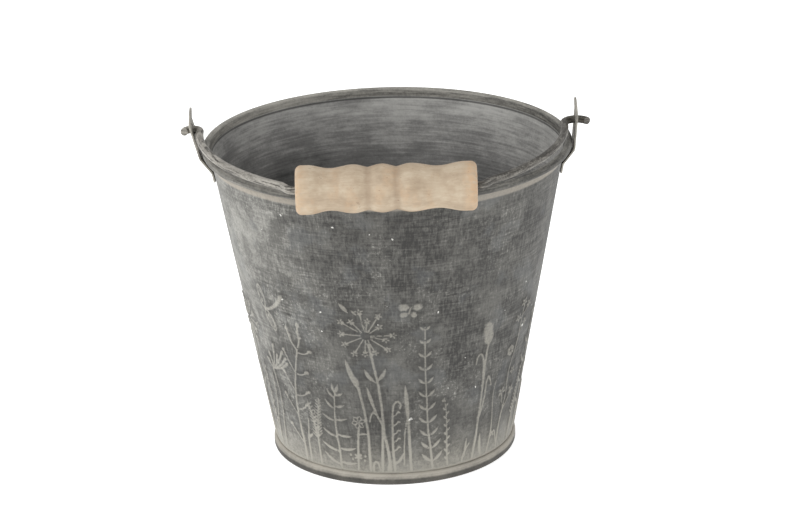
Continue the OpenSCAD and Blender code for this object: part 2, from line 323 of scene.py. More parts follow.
    # tall stalk of leaf pairs, butterfly and a small moth
    made += pairs([(22.9, 6), (21, 20), (19.2, 31), (18.4, 40), (17.7, 51.5), (17, 62), (16.4, 73.5),
                   (16.1, 84.5), (15.9, 96)], 12, 94.5, 8.2, 0.38)
    made += blob(5.6, 108.9, 2.9, 2.3, 0) + blob(12.2, 108.6, 2.6, 2.1, 20)
    made += blob(5.6, 104.5, 2.1, 1.7, 20) + blob(10.4, 104.2, 2.1, 1.6, 110)
    made += stem([(7.9, 105), (9, 108.6)], 0.6, 0.5)
    made += leaf((-24.8, 110.8), (-20.8, 105.6), 2.8) + leaf((-19, 107), (-17, 104.5), 1.6)
    # ear of wheat and grass
    made += wheat([(32.6, 6), (31.3, 18), (30.3, 32), (29.3, 42), (27.8, 51)], 13, 51)
    made += stem([(42.2, 6), (43.3, 13), (46.7, 18.5)], 0.8, 0.5) + leaf((44, 11), (44.4, 22), 1.6)
    made += leaf((58, 6), (54.6, 22.5), 2.4, 0.05)
    # poppy bud with two hooks
    made += leaf((52.9, 77.5), (51.2, 91.6), 7.6, 0.02) + leaf((52.4, 80), (55.2, 82.6), 1.8)
    made += stem([(50.3, 6), (50.6, 13), (51.5, 23), (51.5, 32), (51.9, 42), (52, 53), (52, 62), (52, 70),
                  (52.6, 79)], 1, 0.8)
    made += stem([(51.4, 33), (53.2, 38), (54.4, 46), (54.6, 53.6), (55.9, 57.4), (57.3, 55), (58.5, 51.2)],
                 1.1, 0.6)
    made += stem([(52, 50), (51.4, 62), (50, 70.4), (48, 73), (46.3, 71.3), (45.8, 67.5)], 0.9, 0.7)
    # thin stalk with a small bloom
    made += stem([(62.4, 6), (64.2, 19), (63.8, 28), (62.2, 38.5), (61.7, 46), (62.7, 52.4)], 0.7, 0.5)
    made += floret(66, 19, 2.6, 4, 45) + stem([(71.4, 12), (68, 20), (66, 19)], 0.5, 0.5)
    # flowering branch
    made += stem([(72.4, 6), (72, 18), (72.6, 27.5), (74.1, 36), (74.4, 42), (73.7, 53), (75, 60), (77, 66.4),
                  (78.2, 73), (78.9, 84), (79.3, 91)], 0.8, 0.5)
    for u, z, size in [(79.2, 93.6, 3), (85, 91, 2.6), (75.4, 85.5, 2.8), (83, 81.4, 2.3), (78, 53.6, 2.6),
                       (69.8, 43, 3.4), (80.2, 41, 3.2)]:
        made += floret(u, z, size, 5, 20 * size)
    made += ring(72.4, 67.4, 2.6, 2.3) + floret(72.4, 67.4, 3.4, 6)
    for root, *points in [(0.4, (78.2, 73), (80.4, 77.5), (83, 81)), (0.4, (79, 86), (82.5, 88), (85, 91)),
                          (0.5, (74.1, 32), (77.6, 36), (80.2, 41)), (0.4, (73.2, 33), (71, 38), (69.8, 43))]:
        made += stem(points, root, 0.5)
    # far side: spike, low sprig and a blade
    made += spike([(87, 6), (88, 24), (90, 40), (91.5, 52)], 24, 51, 4.4, 2)
    made += sprig([(97, 6), (97.4, 30), (96, 52), (95, 70)],
                  [(64, 90.5, 69), (52, 88, 59), (40, 88.5, 46), (28, 90, 33),
                   (60, 99.5, 66), (46, 101, 52), (34, 101, 40), (22, 101, 27)], 2.2)
    made += floret(96.5, 82, 3, 5) + stem([(95, 70), (96.5, 80)], 0.6, 0.5)
    made += leaf((112, 6), (114, 34), 2.6, 0.05) + leaf((115, 6), (112, 22), 2)
    return made


def all_round(strokes):
    """The pattern's repeats side by side, with those past the sheet's end brought round to its start."""
    made = []
    for k in range(REPEATS):
        for line in strokes:
            u = line[:, 0] + k * REPEAT
            if u.mean() > SEAM_U + GIRTH:
                u = u - GIRTH
            made.append(np.column_stack([u, line[:, 1:]]))
    return made


def embossing(u, z, strokes):
    """Height of the pattern, from 0 to 1: the highest of all strokes, each a low dome of its own half width
    with soft edges, which fades out at the foot. With it the halo, the mask of the painted shade round the
    strokes: 1 on a stroke, 0 at HALO off it."""
    height, halo = np.zeros(len(u)), np.zeros(len(u))
    for line in strokes:
        reach = line[:, 2].max() + HALO
        near = np.flatnonzero((u > line[:, 0].min() - reach) & (u < line[:, 0].max() + reach)
                              & (z > line[:, 1].min() - reach) & (z < line[:, 1].max() + reach))
        start, step = line[:-1, :2], np.diff(line[:, :2], axis=0)
        q = np.column_stack([u[near], z[near]])[:, None] - start
        t = np.clip((q * step).sum(2) / np.maximum((step ** 2).sum(1), 1e-9), 0, 1)
        away = np.hypot(*(q - t[..., None] * step).transpose(2, 0, 1))
        half = line[:-1, 2] + t * np.diff(line[:, 2])
        lump = 1 - smooth(0, 1, (away - half + SOFT_EDGE) / (2 * SOFT_EDGE))
        lump *= 0.8 + 0.2 * (1 - np.clip(away / half, 0, 1) ** 2)
        np.maximum.at(height, near, lump.max(1) if lump.size else 0)
        np.maximum.at(halo, near, 1 - smooth(0, HALO, (away - half).min(1)) if lump.size else 0)
    return height * smooth(*PATTERN_FADE, z), halo * smooth(*HALO_FADE, z)


# Columns of the wall: evenly spaced, with others instead where the side seam stands up.
SEAM_COLUMNS = np.array([-3.6, -3, -2.5, 2.5, 3, 3.6])
SEAM_CLEAR = 4.5
even = np.linspace(0, GIRTH, 241)[:-1]
even = even[(even < 0.1) | ((even > SEAM_CLEAR) & (even < GIRTH - SEAM_CLEAR))]
columns = np.sort(np.concatenate([even, SEAM_COLUMNS % GIRTH]))


def seam_height(u):
    """Height of the folded side seam, 0 to 1: level over its width, with soft edges. It lies at u = 0."""
    away = np.abs((u + GIRTH / 2) % GIRTH - GIRTH / 2)
    return 1 - smooth(SEAM_HALF - 0.5, SEAM_HALF + 0.5, away)


# Spacings of the points on the unrolled sheet: one point of the strokes is kept in each cell, and a lattice
# point only where no stroke's point lies in its bay.
CELL = 0.6
BAY = 1.7
LATTICE = 3.4


def flat_pattern(strokes):
    """Triangles of the embossed zone on the unrolled sheet: points along and across every stroke, a coarse
    lattice between them and evenly spaced points on the border and the side seam, joined by Delaunay."""
    u = np.append(columns, GIRTH)
    upright = np.linspace(RELIEF_LOW, RELIEF_HIGH, 28)
    border = [np.column_stack([u, np.full(len(u), z)]) for z in (RELIEF_LOW, RELIEF_HIGH)]
    for x in (0, *SEAM_COLUMNS[SEAM_COLUMNS > 0]):
        border += [np.column_stack([np.full(len(upright), y), upright]) for y in (x, GIRTH - x)]
    inner = []
    for line in strokes:
        along = np.gradient(line[:, :2], axis=0)
        across = np.column_stack([-along[:, 1], along[:, 0]])
        across /= np.maximum(np.hypot(*across.T), 1e-9)[:, None]
        for share, extra in [(0, 0), (-1, 0), (1, 0), (-0.5, 0), (0.5, 0), (-1, -SOFT_EDGE), (1, SOFT_EDGE)]:
            inner.append(line[:, :2] + across * (line[:, 2:] * share + extra))
        for end, sign in ((0, -1), (-1, 1)):
            turn = np.arctan2(sign * along[end, 1], sign * along[end, 0]) + np.radians([-60, -30, 0, 30, 60])
            for extra in (0, SOFT_EDGE):
                tip = np.column_stack([np.cos(turn), np.sin(turn)])
                inner.append(line[end, :2] + (line[end, 2] + extra) * tip)
    inner = np.vstack(inner) - [SEAM_U, 0]
    clear_of_seam = np.abs(inner[:, 0] - GIRTH / 2) < GIRTH / 2 - SEAM_CLEAR + CELL / 2
    clear_of_border = (inner[:, 1] > RELIEF_LOW + 0.4) & (inner[:, 1] < RELIEF_HIGH - CELL)
    inner = inner[clear_of_seam & clear_of_border]
    inner = inner[np.unique(np.round(inner / CELL).astype(int), axis=0, return_index=True)[1]]
    lattice = np.stack(np.meshgrid(np.arange(6, GIRTH - 5, LATTICE),
                                   np.arange(RELIEF_LOW + 3, RELIEF_HIGH - 2, LATTICE)), -1).reshape(-1, 2)
    taken = {tuple(c) for c in np.floor(inner / BAY).astype(int).tolist()}
    free = [tuple(c) not in taken for c in np.floor(lattice / BAY).astype(int).tolist()]
    points = np.unique(np.round(np.vstack([*border, inner, lattice[free]]), 4), axis=0)
    made = delaunay_2d_cdt([Vector(p) for p in points.tolist()], [], [], 0, 1e-6)
    return np.array(made[0], float), np.array(made[2])


def cone_points(u, z, lift, depth=0.0):
    """Rolls flat points up to the cone: lift is the height above the sheet's outer face, depth the way in
    from it. Slow waves of about a tenth of a millimetre keep the sheet from being a perfect cone."""
    turn = (u + SEAM_U) / PATTERN_R
    wave = 0.12 * np.sin(3 * turn + 1) * np.sin(z / 23) + 0.1 * np.sin(5 * turn) * np.sin(z / 37 + 2)
    wave = wave * smooth(12, 40, z) * (1 - smooth(140, 160, z))
    r = cone_r(z) + (lift + wave) / np.cos(slope) - depth
    return np.column_stack([r * np.sin(turn), -r * np.cos(turn), z])


def turned(section, columns):
    """Turns a section of (radius, height) about the bucket's axis, each of its points into a row."""
    turn = (columns + SEAM_U) / PATTERN_R
    r, z = section[:, :1], section[:, 1:]
    rows = np.stack([r * np.sin(turn), -r * np.cos(turn), z + 0 * turn], -1)
    return rows.reshape(-1, 3)


def grid_faces(rows, cols, closed=True):
    """Quads of a grid of points stored row by row, closed round its columns."""
    i = np.arange(rows - 1)[:, None]
    j = np.arange(cols if closed else cols - 1)[None]
    k = (j + 1) % cols
    return np.stack([i * cols + j, i * cols + k, (i + 1) * cols + k, (i + 1) * cols + j], -1).reshape(-1, 4)


def add_object(name, data):
    """Stands a mesh, lamp or camera in the scene."""
    made = bpy.data.objects.new(name, data)
    bpy.context.scene.collection.objects.link(made)
    return made


def add_mesh(name, parts, layers=None):
    """Puts the parts, each (points, faces), into one mesh in metres, welds points that coincide and turns the
    faces outwards. Layers are named values for each point, one array for each part."""
    faces, start = [], 0
    for points, part_faces in parts:
        for group in part_faces:
            faces += (np.asarray(group) + start).tolist()
        start += len(points)
    mesh = bpy.data.meshes.new(name)
    mesh.from_pydata((np.vstack([points for points, _ in parts]) * MM).tolist(), [], faces)
    for layer, values in (layers or {}).items():
        value = np.concatenate(values).astype(np.float32)
        mesh.attributes.new(layer, "FLOAT", "POINT").data.foreach_set("value", value)
    shell = bmesh.new()
    shell.from_mesh(mesh)
    bmesh.ops.remove_doubles(shell, verts=shell.verts, dist=WELD)
    bmesh.ops.recalc_face_normals(shell, faces=shell.faces)
    shell.to_mesh(mesh)
    shell.free()
    mesh.shade_smooth()
    return add_object(name, mesh)


skin = SHEET / np.cos(slope)
tangent_z = bead_z + BEAD_R * np.sin(slope)
strokes = all_round(meadow())
flat, triangles = flat_pattern(strokes)
height, halo = embossing(flat[:, 0] + SEAM_U, flat[:, 1], strokes)
flat_lift = RAISED * height + SEAM_PROUD * seam_height(flat[:, 0])
parts, layers = [], {"raised": [], "ground": [], "inside": []}


def add_part(points, faces, raised=0, ground=0, inside=0):
    """Adds a part of the wall with three values for each point: how far it is raised, how near a stroke it
    lies, which the material turns into painted shade, and whether it is on the inside."""
    parts.append((points, [faces]))
    for layer, value in (("raised", raised), ("ground", ground), ("inside", inside)):
        layers[layer].append(np.zeros(len(points)) + value)


for depth in (0, skin):
    add_part(cone_points(flat[:, 0], flat[:, 1], flat_lift, depth), triangles, height, halo, depth > 0)

# plain cone above the meadow, and the short neck below it
for depth, top in ((0, tangent_z - SHEET * np.sin(slope)), (skin, tangent_z)):
    for rows in (np.linspace(RELIEF_HIGH, top, 26), np.array([neck_z, neck_z + 0.6, RELIEF_LOW])):
        u, z = (grid.ravel() for grid in np.meshgrid(columns, rows))
        lift = SEAM_PROUD * seam_height(u) * (1 - smooth(top - 7, top - 4, z)) * smooth(neck_z, neck_z + 1, z)
        add_part(cone_points(u, z, lift, depth), grid_faces(len(rows), len(columns)), inside=depth > 0)

# the curl at the rim and the hidden hook in the foot seam
start = 180 - np.degrees(slope)
curl = np.vstack([arc((bead_ring, bead_z), BEAD_R, start, CURL_END, 30),
                  arc((bead_ring, bead_z), BEAD_R - SHEET, CURL_END, start, 24)])
hook = np.array([[cone_r(neck_z), neck_z], [neck_r, HOOK_LOW], [neck_r - SHEET, HOOK_LOW],
                 [cone_r(neck_z) - skin, neck_z]])
for section in (curl, hook):
    add_part(turned(section, columns), grid_faces(len(section), len(columns)))

wall = add_mesh("wall_sheet", parts, layers)


class Value:
    """A socket of a material's node tree. Sums, differences and products of values add Math nodes."""

    def __init__(self, tree, socket=None):
        self.tree = tree
        self.socket = socket

    def node(self, kind, output, links, **settings):
        """Adds a node of any kind: its settings first, then the values or links of its sockets."""
        made = self.tree.nodes.new(kind)
        stops = settings.pop("stops", [])
        for key, value in settings.items():
            setattr(made, key, value)
        for k, (at, colour) in enumerate(stops):
            stop = made.color_ramp.elements[k] if k < 2 else made.color_ramp.elements.new(at)
            stop.position, stop.color = at, colour
        for key, value in links.items():
            socket = next(s for s in made.inputs if s.identifier == key)
            if isinstance(value, Value):
                self.tree.links.new(value.socket, socket)
            else:
                socket.default_value = value
        return Value(self.tree, next((s for s in made.outputs if s.identifier == output), None))

    def math(self, operation, a, b):
        return self.node("ShaderNodeMath", "Value", {"Value": a, "Value_001": b}, operation=operation)

    def __add__(self, other):
        return self.math("ADD", self, other)

    def __sub__(self, other):
        return self.math("SUBTRACT", self, other)

    def __rsub__(self, other):
        return self.math("SUBTRACT", other, self)

    def __mul__(self, other):
        return self.math("MULTIPLY", self, other)

    __radd__ = __add__
    __rmul__ = __mul__

    def step(self, low, high):
        """Soft step of this value from 0 at low to 1 at high."""
        return self.node("ShaderNodeMapRange", "Result", {"Value": self, "From Min": low, "From Max": high},
                         interpolation_type="SMOOTHSTEP")

    def band(self, low, high, soft):
        """1 where this value lies between low and high, with soft ends."""
        return self.step(low - soft, low) * (1 - self.step(high, high + soft))

    def axis(self, name):
        """One of the coordinates X, Y and Z of this place, in metres."""
        return self.node("ShaderNodeSeparateXYZ", name, {"Vector": self})

    def noise(self, size, stretch=(1, 1, 1), detail=3.0, rough=0.55):
        """Cloudy noise on this place: spots of about size metres, drawn out along the stretched axes."""
        scale = [1 / (size * s) for s in stretch]
        scaled = self.node("ShaderNodeVectorMath", "Vector", {"Vector": self, "Vector_001": scale},
                           operation="MULTIPLY")
        return self.node("ShaderNodeTexNoise", "Fac",
                         {"Vector": scaled, "Scale": 1.0, "Detail": detail, "Roughness": rough})

    def mix(self, low, high):
        """Colour low where this value is 0 and high where it is 1."""
        return self.node("ShaderNodeMix", "Result_Color",
                         {"Factor_Float": self, "A_Color": low, "B_Color": high}, data_type="RGBA")

    def ramp(self, low, middle, high):
        """Colour that runs from low at 0 through middle at a half to high at 1."""
        return self.node("ShaderNodeValToRGB", "Color", {"Fac": self},
                         stops=[(0.0, low), (1.0, high), (0.5, middle)])


def tint(red, green, blue):
    """Colour given as the eye sees it, 0 to 255, turned into the light values that a shader takes."""
    c = np.array([red, green, blue]) / 255
    return (*np.where(c > 0.04045, ((c + 0.055) / 1.055) ** 2.4, c / 12.92), 1.0)


def finish(place, colour, roughness, metallic, bump, depth, glow=0.0):
    """Closes a material: a Principled surface with a Bump whose height is in shares of depth metres."""
    relief = place.node("ShaderNodeBump", "Normal", {"Height": bump, "Distance": depth, "Strength": 1.0})
    surface = place.node("ShaderNodeBsdfPrincipled", "BSDF",
                         {"Base Color": colour, "Roughness": roughness, "Metallic": metallic,
                          "Normal": relief, "Emission Color": (1, 1, 1, 1), "Emission Strength": glow})
    place.node("ShaderNodeOutputMaterial", "", {"Surface": surface})


def new_material(name):
    """An empty material and the Object coordinates that its patterns lie on."""
    material = bpy.data.materials.new(name)
    material.use_nodes = True
    material.node_tree.nodes.clear()
    return material, Value(material.node_tree).node("ShaderNodeTexCoord", "Object", {})


def coat(piece, material):
    """Gives a piece one material for its whole surface."""
    piece.data.materials.clear()
    piece.data.materials.append(material)


def dress(piece, material, body, nodes):
    """Gives a piece its material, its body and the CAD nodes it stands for."""
    coat(piece, material)
    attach(piece, body)
    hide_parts(*nodes)


# Whitewashed zinc: grey patina in clouds and wiped patches, a fine weave of brush marks, paler where the wash
# stayed: on the relief, above the foot, under the bead and down the left side. The bead itself is dark.
PATINA = tint(44, 43, 41), tint(95, 94, 90), tint(156, 155, 149)
INNER_PATINA = tint(58, 58, 56), tint(116, 115, 113), tint(176, 175, 171)
BLUE_GREY = tint(106, 109, 111)
# wash colours, which also paint the reflections at the wall's side edges
WASH_AND_SHEEN, LEFT_WASH_AND_SHEEN = tint(148, 145, 136), tint(168, 165, 156)
BEAD_WASH, LEFT_BEAD_WASH = tint(142, 136, 126), tint(164, 156, 144)
BARE_CHIP = tint(222, 221, 216)
# painted shade colours: round the relief and under the bead outside, and in the crease inside
PAINTED_SHADE, CREASE_SHADE = tint(58, 57, 54), tint(48, 47, 45)
BEAD_DARK, BEAD_PALE = tint(52, 51, 48), tint(160, 157, 149)

washed, place = new_material("whitewashed_zinc")
relief, dark_ground, within = (place.node("ShaderNodeAttribute", "Fac", {}, attribute_name=layer)
                               for layer in ("raised", "ground", "inside"))
x, y, z = place.axis("X"), place.axis("Y"), place.axis("Z")
clouds = place.noise(0.05, detail=2.0)
patches = place.noise(0.014, (1, 1, 1.2), 8.0, 0.68)
upright = place.noise(0.0011, (1, 1, 16), 2.0, 0.65)
level = place.noise(0.0011, (16, 16, 1), 2.0, 0.65)
specks = place.noise(0.0015, rough=0.75)
salt = specks.step(0.55, 0.64) * place.noise(0.03, detail=2.0).step(0.5, 0.62)
left_side = 1 - x.step(-0.085, -0.015)
# painted reflection: the wall is paler towards its left and right edges
edges = x.step(0.085, 0.1) + (1 - x.step(-0.1, -0.085))

# heights near the rim are counted from the bead's foot, in metres
bead_foot = (bead_z - BEAD_R) * MM

# outside: patina, then the wash that stayed with painted reflections along both side edges, then chips, and
# painted shade round the relief and in a line under the bead
weave = (0.9 * (upright - 0.5) + 0.8 * (level - 0.5)) * (1.1 - 0.8 * clouds.step(0.35, 0.65))
tone = 0.14 * clouds.step(0.3, 0.7) + 0.24 * patches.step(0.40, 0.58) + weave
tone = tone + 0.8 * (specks - 0.5) + 0.40 * left_side + 0.2 * salt + 0.07
patina = tone.ramp(*PATINA)
wiped_blue = place.noise(0.02, detail=4.0).step(0.52, 0.64)
patina = (0.22 * wiped_blue).mix(patina, BLUE_GREY)
foot_fade = (1 - z.step(0.006, 0.04)) + 0.7 * (1 - z.step(0.0064, 0.0085))
rubbed = relief.step(0.2, 0.95) * (0.3 + 0.9 * specks)
wash_and_sheen = 0.74 * rubbed + 0.9 * foot_fade * (0.2 + specks)
# painted reflection along both side edges of the wall
wash_and_sheen = wash_and_sheen + 0.25 * edges * (0.3 + specks)
outer_colour = wash_and_sheen.step(0, 1).mix(patina, left_side.mix(WASH_AND_SHEEN, LEFT_WASH_AND_SHEEN))
under_bead = 0.9 * z.band(bead_foot - 0.0038, bead_foot - 0.0014, 0.0012) * (0.4 + specks)
outer_colour = under_bead.mix(outer_colour, left_side.mix(BEAD_WASH, LEFT_BEAD_WASH))
chips = place.noise(0.0039, detail=1.0).step(0.79, 0.80)
outer_colour = (0.8 * chips).mix(outer_colour, BARE_CHIP)
# painted shade: the ground round each relief stroke is darkened
outline = dark_ground * (1 - relief.step(0.05, 0.6))
# painted shade: a dark line just under the bead
outline = outline + 1.2 * z.band(bead_foot - 0.0008, bead_foot - 0.0002, 0.0004)
outer_colour = (0.5 * outline).mix(outer_colour, PAINTED_SHADE)

# inside: brushed round the wall, with painted shade that leaves it darker deep down and paler towards the
# rim, the right and the back, and a line of painted shade in the crease under the rim
brushed = place.noise(0.0014, (22, 22, 1), 4.0, 0.65)
wiped = place.noise(0.010, (2.2, 2.2, 1), 6.0, 0.62)
inner_tone = 0.15 * clouds.step(0.3, 0.7) + 0.2 * wiped.step(0.38, 0.6) + 0.85 * (brushed - 0.5)
# painted shade: darker deep inside, paler towards the rim, the right and the back
inner_tone = inner_tone + 0.4 * (specks - 0.5) + 0.5 * z.step(0.125, 0.168) + 0.2 * x.step(-0.05, 0.08)
inner_tone = inner_tone + 0.1 * y.step(0.02, 0.08) - 0.04
# painted shade in the crease under the rim
crease_shade = z.band(bead_foot - 0.0012, bead_foot - 0.0005, 0.0004)
inner_colour = (0.75 * crease_shade).mix(inner_tone.ramp(*INNER_PATINA), CREASE_SHADE)

# bead: dark, with pale wear on the left and a painted highlight along its top
bead = z.step(bead_foot - 0.0003, bead_foot + 0.0001)
bead_tone = (level - 0.5) + 0.6 * (specks - 0.5) + 0.2 * left_side + 0.3 * y.step(0.0, 0.08)
# painted highlight: paler along the bead's top
bead_tone = bead_tone + 0.15 * z.step(bead_foot + 0.003, bead_foot + 0.004) + 0.2
bead_colour = bead_tone.step(0, 1).mix(BEAD_DARK, BEAD_PALE)
colour = bead.mix(within.mix(outer_colour, inner_colour), bead_colour)
finish(place, colour, 0.5 + 0.25 * specks, 0.2, 0.4 * specks + 0.3 * upright + 0.3 * level, 0.0003)
dress(wall, washed, "bucket", ["wall"])


# ------------------------------------------------------------
# Rim wire: a ring of steel wire inside the curl, seen only through the slit under the bead.

dark_wire, place = new_material("dark_wire")
specks = place.noise(0.0015, rough=0.7)
colour = specks.step(0.35, 0.7).mix(tint(88, 84, 78), tint(140, 136, 128))
finish(place, colour, 0.5 + 0.2 * specks, 0.5, specks, 0.0002)
coat(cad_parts["rim_wire"], dark_wire)


# ------------------------------------------------------------
# Bottom: a pressed zinc disc. Its edge turns down, runs under the wall's hook as the foot that the bucket
# stands on, and folds up round it as a smooth band. The wash fills the groove between that band and the wall.

FLANGE_BEND = 1.2   # outer radius of the bend from the disc to its edge
HEM_R = 0.35        # rounding of the foot's inner edge
FOOT_CORNER = 1.4
FILL_TOP = 6.7      # upper edge of the wash in the groove
FILL_R = 2.2        # rounding of the wash over the fold
floor_z = base_high[2]
foot_r = base_high[0]
flange_r = foot_r - 4 * LAYER - SHEET
bend_middle = (flange_r + SHEET - FLANGE_BEND, floor_z - FLANGE_BEND)
section = np.vstack([
    np.column_stack([np.linspace(0, flange_r - FLANGE_BEND, 30), np.full(30, floor_z)]),
    arc(bend_middle, FLANGE_BEND, 90, 0, 7),
    [[flange_r + SHEET, FOOT_CORNER]],
    arc((foot_r - FOOT_CORNER, FOOT_CORNER), FOOT_CORNER - SHEET, 270, 360, 8),
    arc((foot_r - FOOT_CORNER, SEAM_H - FOOT_CORNER), FOOT_CORNER - SHEET, 0, 90, 6),
    [[foot_r - FOOT_CORNER - 0.15, SEAM_H - SHEET + 0.1], [cone_r(FILL_TOP) - 0.05, FILL_TOP]],
    arc((foot_r - FILL_R, SEAM_H - FOOT_CORNER), FILL_R, 48, 0, 9),
    arc((foot_r - FOOT_CORNER, FOOT_CORNER), FOOT_CORNER, 0, -90, 10),
    [[flange_r + HEM_R, 0]],
    arc((flange_r + HEM_R, HEM_R), HEM_R, 270, 180, 4),
    arc(bend_middle, FLANGE_BEND - SHEET, 0, 90, 6),
    np.column_stack([np.linspace(flange_r - 1.3, 0, 24), np.full(24, floor_z - SHEET)]),
])
foot_columns = np.linspace(0, GIRTH, 181)[:-1]
foot = add_mesh("foot", [(turned(section, foot_columns), [grid_faces(len(section), len(foot_columns))])])

foot_zinc, place = new_material("foot_zinc")
z = place.axis("Z")
specks = place.noise(0.0017, rough=0.75)
clouds = place.noise(0.012, detail=5.0, rough=0.6)
under_fold = 1 - (z + 0.001 * (clouds - 0.5)).step(0.0028, 0.0042)
tone = (0.3 * clouds.step(0.35, 0.65) + 0.9 * (specks - 0.5) + 0.35).step(0, 1)
from_axis = place.node("ShaderNodeVectorMath", "Value", {"Vector": place}, operation="LENGTH")
on_disc = 1 - from_axis.step(0.054, 0.057)
scoured = place.noise(0.0014, (14, 1, 1), 4.0, 0.65)
disc_tone = (0.5 * clouds + 1.1 * (scoured - 0.5) + 0.6 * (specks - 0.5)).step(0, 1)
disc_colour = disc_tone.mix(tint(74, 74, 72), tint(158, 157, 153))
pale = (tone + 0.5 * z.step(0.0046, 0.0054)).mix(tint(118, 115, 108), tint(160, 155, 145))
dark = tone.mix(tint(50, 49, 46), tint(92, 89, 83))
colour = on_disc.mix(under_fold.mix(pale, dark), disc_colour)
finish(place, colour, 0.5 + 0.25 * specks, 0.25, specks, 0.0003)
dress(foot, foot_zinc, "bucket", ["base"])


# ------------------------------------------------------------
# Ears: two stamped zinc plates, bent to clear the rim bead and spot-welded to the wall by their lower tabs.
# They were bent by hand, and the left one leans further out than the right one.

EAR_T = 1.0
EAR_W = 18
EAR_EDGE = 0.22     # rounding of the stamped edges
EAR_CORNER = 1.5    # round lower corners of the tab
HOLE_R = 2.45
EAR_TOP = 12        # height of the tip over the hole
EAR_TAB = 5.5
EAR_SLANT = 8       # height of the slanting stretch between the tab and the blade
EAR_CORNER_DROP = 3.9
EAR_GAP = 0.3
EAR_TIP_START = 4
EAR_TIP_LEAN = 2
EAR_BEND = 2.0      # radius of the ears' bends at the middle of the plate
EAR_LEAN = {"left": 15, "right": 5}
grip_low, grip_high = box_of("grip")
hinge_z = (grip_low[2] + grip_high[2]) / 2
ear_corner = np.array([wall_high[0] + EAR_GAP + EAR_T / 2, bead_z - EAR_CORNER_DROP])


def blade_x(lean, z):
    """Distance from the axis at which an ear's leaning blade stands at height z."""
    return ear_corner[0] + (z - ear_corner[1]) * np.tan(np.radians(lean))


def bent_line(corners, radius, step=0.5):
    """Straight stretches with their corners rounded: each corner becomes an arc of the radius, with points
    about a step apart. With the line it gives the way along it to each point."""
    p = np.array(corners, float)
    line = [p[:1]]
    for a, b, c in zip(p[:-2], p[1:-1], p[2:]):
        before, after = (b - a) / np.hypot(*(b - a)), (c - b) / np.hypot(*(c - b))
        turn = np.arctan2(before[0] * after[1] - before[1] * after[0], before @ after)
        cut = radius * np.tan(abs(turn) / 2)
        centre = b - before * cut + np.array([-before[1], before[0]]) * np.sign(turn) * radius
        start = b - before * cut - centre
        angles = np.linspace(0, turn, max(3, int(radius * abs(turn) / step) + 2))[:, None]
        line.append(centre + start * np.cos(angles) + np.array([-start[1], start[0]]) * np.sin(angles))
    line.append(p[-1:])
    line = np.vstack(line)
    way = np.append(0, np.cumsum(np.hypot(*np.diff(line, axis=0).T)))
    return line, way


def ear_mesh(name, side, lean):
    """A stamped plate: its flat outline with round top, round corners and hole is cut into triangles, given
    two faces and a rounded edge, and bent along the ear's line in the XZ plane."""
    off = (EAR_T / 2 + LAYER - SHEET) / np.cos(slope)
    slant_z = ear_corner[1] - EAR_SLANT
    tab_z = slant_z - EAR_TAB
    tip_z = hinge_z + EAR_TIP_START
    tip_x = blade_x(lean, tip_z)
    top = (tip_x - EAR_TOP * np.tan(np.radians(EAR_TIP_LEAN)), tip_z + EAR_TOP - EAR_TIP_START)
    line, way = bent_line([(cone_r(tab_z) + off, tab_z), (cone_r(slant_z) + off, slant_z), ear_corner,
                           (tip_x, tip_z), top], EAR_BEND)
    length = way[-1]
    hole_s = np.interp(hinge_z, line[:, 1], way)
    half = EAR_W / 2

    def outline(inset):
        """Closed outline in (along, across): a rectangle with a half-round top and round lower corners."""
        r = EAR_CORNER
        straight = np.linspace(r, length - half, 24)[1:-1]
        return np.vstack([
            arc((length - half, 0), half - inset, 90, -90, 41),
            np.column_stack([straight[::-1], np.full(len(straight), inset - half)]),
            arc((r, r - half), r - inset, 270, 180, 7),
            arc((r, half - r), r - inset, 180, 90, 7),
            np.column_stack([straight, np.full(len(straight), half - inset)]),
        ])

    def hole(inset):
        """The hole for the wire: a closed circle."""
        return arc((hole_s, 0), HOLE_R + inset, 0, 360, 41)[:-1]

    def on_line(along):
        """Points of the ear's line at these ways along it."""
        return np.interp(along, way, line[:, 0]), np.interp(along, way, line[:, 1])

    def bend(flat, out):
        """Bends flat points (along, across) onto the ear's line, moved out along its normal."""
        x, z = on_line(flat[:, 0])
        slope_x, slope_z = np.subtract(on_line(flat[:, 0] + 0.4), on_line(flat[:, 0] - 0.4))
        size = np.hypot(slope_x, slope_z)
        return np.column_stack([side * (x + out * slope_z / size), flat[:, 1], z - out * slope_x / size])

    rim, bore = outline(EAR_EDGE), hole(EAR_EDGE)
    n, m = len(rim), len(bore)
    inner = np.meshgrid(np.arange(1, length - 0.6, 1.0), np.arange(-half + 1.2, half - 0.8, 1.6))
    inner = np.stack(inner, -1).reshape(-1, 2)
    crown = np.hypot(inner[:, 0] - (length - half), inner[:, 1]) < half - 1
    clear = np.hypot(inner[:, 0] - hole_s, inner[:, 1]) > HOLE_R + 0.9
    inner = inner[clear & (crown | (inner[:, 0] < length - half))]
    flat = np.vstack([rim, bore, inner])
    edges = [(k, (k + 1) % n) for k in range(n)] + [(n + k, n + (k + 1) % m) for k in range(m)]
    made = delaunay_2d_cdt([Vector(p) for p in flat.tolist()], edges, [], 2, 1e-6)
    plate, cut = np.array(made[0], float), np.array(made[2])
    middle = plate[cut].mean(1)
    cut = cut[np.hypot(middle[:, 0] - hole_s, middle[:, 1]) > HOLE_R]
    parts = [(bend(plate, out), [cut]) for out in (EAR_T / 2, -EAR_T / 2)]
    for shape in (outline, hole):
        rows = [bend(shape(EAR_EDGE * (1 - np.sin(a))), face * (EAR_T / 2 - EAR_EDGE * (1 - np.cos(a))))
                for face, turns in ((1, [0, 30, 60, 90]), (-1, [90, 60, 30, 0])) for a in np.radians(turns)]
        parts.append((np.vstack(rows), [grid_faces(len(rows), len(rows[0]))]))
    return add_mesh(name, parts)


